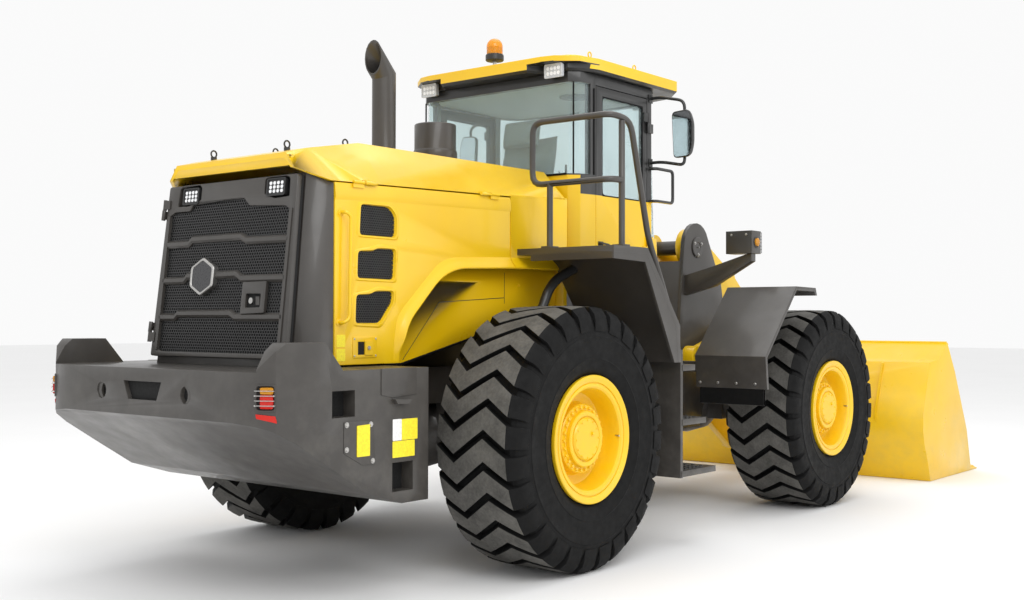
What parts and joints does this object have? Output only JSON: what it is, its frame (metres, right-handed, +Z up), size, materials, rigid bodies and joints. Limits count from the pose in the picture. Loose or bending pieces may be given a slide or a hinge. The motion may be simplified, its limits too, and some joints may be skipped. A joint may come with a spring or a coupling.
{
  "type": "articulated wheel loader",
  "caption": "Articulated wheel loader with four equal tyres, rear engine and counterweight, central cab and a Z-bar front linkage that carries an earth bucket.",
  "frame": {"origin": "on the ground, centred between the counterweight's rear face and the bucket's lip, on the machine's centre plane", "axes": "+X forward towards the bucket, +Y to the driver's left, +Z up"},
  "size_m": [8.751, 3.001, 3.5823],
  "materials": {
    "machine_yellow": "semi-gloss paint, warm yellow",
    "frame_grey": "satin paint, warm dark grey",
    "engine_grey": "painted casting",
    "tyre_rubber": "matt black rubber, dusty",
    "tinted_glass": "clear, slightly green",
    "chrome_rod": "polished",
    "seat_fabric": "woven cover",
    "amber_plastic": "translucent amber"
  },
  "bodies": {
    "rear": {"rear_frame": "frame_grey", "engine_and_transmission": "engine_grey", "counterweight": "frame_grey", "hood": "machine_yellow", "radiator_tower": "frame_grey", "exhaust_stack": "frame_grey", "air_precleaner": "frame_grey", "cab_body": "machine_yellow", "rear_glass": "tinted_glass", "windscreen": "tinted_glass", "cab_roof": "machine_yellow", "beacon": "amber_plastic", "operator_seat": "seat_fabric", "steering_console": "frame_grey", "rear_axle": "frame_grey", "rear_fender_left": "frame_grey", "rear_fender_right": "frame_grey", "ladder_left": "frame_grey", "ladder_right": "frame_grey", "handrail_left": "frame_grey", "handrail_right": "frame_grey", "mirror_left": "frame_grey", "mirror_right": "frame_grey"},
    "front": {"front_frame": "frame_grey", "front_axle": "frame_grey", "front_fender_left": "frame_grey", "front_fender_right": "frame_grey", "headlight_bracket_left": "frame_grey", "headlight_bracket_right": "frame_grey"},
    "boom": {"boom": "machine_yellow"},
    "bellcrank": {"bellcrank": "machine_yellow"},
    "bucket_link": {"bucket_link": "machine_yellow"},
    "bucket": {"bucket": "machine_yellow"},
    "grille_door": {"rear_grille_door": "frame_grey"},
    "tilt_barrel": {"tilt_cylinder_barrel": "machine_yellow"},
    "tilt_rod": {"tilt_cylinder_rod": "chrome_rod"},
    "hood_door_left": {"hood_side_door_left": "machine_yellow"},
    "cab_door_left": {"cab_door_left": "machine_yellow", "door_glass_left": "tinted_glass"},
    "lift_barrel_left": {"lift_cylinder_left_barrel": "machine_yellow"},
    "lift_rod_left": {"lift_cylinder_left_rod": "chrome_rod"},
    "steering_barrel_left": {"steering_cylinder_left_barrel": "machine_yellow"},
    "steering_rod_left": {"steering_cylinder_left_rod": "chrome_rod"},
    "wheel_rear_left": {"tyre_rear_left": "tyre_rubber", "rim_rear_left": "machine_yellow"},
    "wheel_front_left": {"tyre_front_left": "tyre_rubber", "rim_front_left": "machine_yellow"},
    "hood_door_right": {"hood_side_door_right": "machine_yellow"},
    "cab_door_right": {"cab_door_right": "machine_yellow", "door_glass_right": "tinted_glass"},
    "lift_barrel_right": {"lift_cylinder_right_barrel": "machine_yellow"},
    "lift_rod_right": {"lift_cylinder_right_rod": "chrome_rod"},
    "steering_barrel_right": {"steering_cylinder_right_barrel": "machine_yellow"},
    "steering_rod_right": {"steering_cylinder_right_rod": "chrome_rod"},
    "wheel_rear_right": {"tyre_rear_right": "tyre_rubber", "rim_rear_right": "machine_yellow"},
    "wheel_front_right": {"tyre_front_right": "tyre_rubber", "rim_front_right": "machine_yellow"}
  },
  "joints": [
    {"name": "wheel_rear_left_spin", "type": "hinge", "parent": "rear", "child": "wheel_rear_left", "pos_m": [-2.2705, 1.16, 0.79], "axis": [0, 1, 0], "continuous": true},
    {"name": "wheel_rear_right_spin", "type": "hinge", "parent": "rear", "child": "wheel_rear_right", "pos_m": [-2.2705, -1.16, 0.79], "axis": [0, 1, 0], "continuous": true},
    {"name": "wheel_front_left_spin", "type": "hinge", "parent": "front", "child": "wheel_front_left", "pos_m": [1.0855, 1.16, 0.79], "axis": [0, 1, 0], "continuous": true},
    {"name": "wheel_front_right_spin", "type": "hinge", "parent": "front", "child": "wheel_front_right", "pos_m": [1.0855, -1.16, 0.79], "axis": [0, 1, 0], "continuous": true},
    {"name": "articulation", "type": "hinge", "parent": "rear", "child": "front", "pos_m": [-0.5925, 0, 0.79], "axis": [0, 0, 1], "range_deg": [-35, 35]},
    {"name": "boom_lift", "type": "hinge", "parent": "front", "child": "boom", "pos_m": [0.6195, 0, 2.1], "axis": [0, -1, 0], "range_deg": [0, 83]},
    {"name": "bucket_tilt", "type": "hinge", "parent": "boom", "child": "bucket", "pos_m": [2.6995, 0, 0.34], "axis": [0, 1, 0], "range_deg": [-43, 120]},
    {"name": "bellcrank_turn", "type": "hinge", "parent": "boom", "child": "bellcrank", "pos_m": [2.0075, 0, 0.992], "axis": [0, -1, 0], "range_deg": [-13, 36.1]},
    {"name": "link_turn", "type": "hinge", "parent": "bellcrank", "child": "bucket_link", "pos_m": [2.2835, 0, 0.45], "axis": [0, 1, 0], "range_deg": [-41.29, 115.06]},
    {"name": "tilt_barrel_turn", "type": "hinge", "parent": "boom", "child": "tilt_barrel", "pos_m": [0.6195, 0, 2.1], "axis": [0, -1, 0], "range_deg": [-15.93, 5.77]},
    {"name": "tilt_rod_slide", "type": "slide", "parent": "tilt_barrel", "child": "tilt_rod", "axis": [0.9815, 0, -0.1915], "range_m": [-0.3909, 0.1414]},
    {"name": "lift_barrel_left_turn", "type": "hinge", "parent": "front", "child": "lift_barrel_left", "pos_m": [0.3295, 0.58, 1.2], "axis": [0, -1, 0], "range_deg": [-0.2, 44.98]},
    {"name": "lift_rod_left_slide", "type": "slide", "parent": "lift_barrel_left", "child": "lift_rod_left", "axis": [0.9645, 0, 0.2641], "range_m": [-0.002, 0.8252]},
    {"name": "steering_barrel_left_turn", "type": "hinge", "parent": "rear", "child": "steering_barrel_left", "pos_m": [-1.2525, 0.5, 0.8], "axis": [0, 0, 1], "range_deg": [-12.15, 12.15]},
    {"name": "steering_rod_left_slide", "type": "slide", "parent": "steering_barrel_left", "child": "steering_rod_left", "axis": [0.9917, -0.1286, 0], "range_m": [-0.2499, 0.2499]},
    {"name": "lift_barrel_right_turn", "type": "hinge", "parent": "front", "child": "lift_barrel_right", "pos_m": [0.3295, -0.58, 1.2], "axis": [0, -1, 0], "range_deg": [-0.2, 44.98]},
    {"name": "lift_rod_right_slide", "type": "slide", "parent": "lift_barrel_right", "child": "lift_rod_right", "axis": [0.9645, 0, 0.2641], "range_m": [-0.002, 0.8252]},
    {"name": "steering_barrel_right_turn", "type": "hinge", "parent": "rear", "child": "steering_barrel_right", "pos_m": [-1.2525, -0.5, 0.8], "axis": [0, 0, 1], "range_deg": [-12.15, 12.15]},
    {"name": "steering_rod_right_slide", "type": "slide", "parent": "steering_barrel_right", "child": "steering_rod_right", "axis": [0.9917, 0.1286, 0], "range_m": [-0.2499, 0.2499]},
    {"name": "grille_door_swing", "type": "hinge", "parent": "rear", "child": "grille_door", "pos_m": [-3.9225, 0.621, 1.28], "axis": [-0.111, 0.0282, -0.9934], "range_deg": [0, 90]},
    {"name": "hood_door_left_lift", "type": "hinge", "parent": "rear", "child": "hood_door_left", "pos_m": [-3.6465, 0.712, 2.24957], "axis": [0.9997, 0, 0.0238], "range_deg": [0, 80]},
    {"name": "cab_door_left_swing", "type": "hinge", "parent": "rear", "child": "cab_door_left", "pos_m": [-0.6125, 0.764, 1.86], "axis": [0, 0, -1], "range_deg": [0, 70]},
    {"name": "hood_door_right_lift", "type": "hinge", "parent": "rear", "child": "hood_door_right", "pos_m": [-3.6465, -0.712, 2.24957], "axis": [-0.9997, 0, -0.0238], "range_deg": [0, 80]},
    {"name": "cab_door_right_swing", "type": "hinge", "parent": "rear", "child": "cab_door_right", "pos_m": [-0.6125, -0.764, 1.86], "axis": [0, 0, 1], "range_deg": [0, 70]}
  ],
  "couplings": [
    {"joint": "bellcrank_turn", "follows": "bucket_tilt", "ratio": 0.3},
    {"joint": "link_turn", "follows": "bucket_tilt", "ratio": 0.958},
    {"joint": "tilt_barrel_turn", "follows": "bucket_tilt", "ratio": -0.13193},
    {"joint": "tilt_rod_slide", "follows": "bucket_tilt", "m_per_rad": -0.1857},
    {"joint": "lift_barrel_left_turn", "follows": "boom_lift", "ratio": 0.53947},
    {"joint": "lift_rod_left_slide", "follows": "boom_lift", "m_per_rad": 0.56828},
    {"joint": "steering_barrel_left_turn", "follows": "articulation", "ratio": 0.34131},
    {"joint": "steering_rod_left_slide", "follows": "articulation", "m_per_rad": -0.40578},
    {"joint": "lift_barrel_right_turn", "follows": "boom_lift", "ratio": 0.53947},
    {"joint": "lift_rod_right_slide", "follows": "boom_lift", "m_per_rad": 0.56828},
    {"joint": "steering_barrel_right_turn", "follows": "articulation", "ratio": 0.34131},
    {"joint": "steering_rod_right_slide", "follows": "articulation", "m_per_rad": 0.40578}
  ]
}
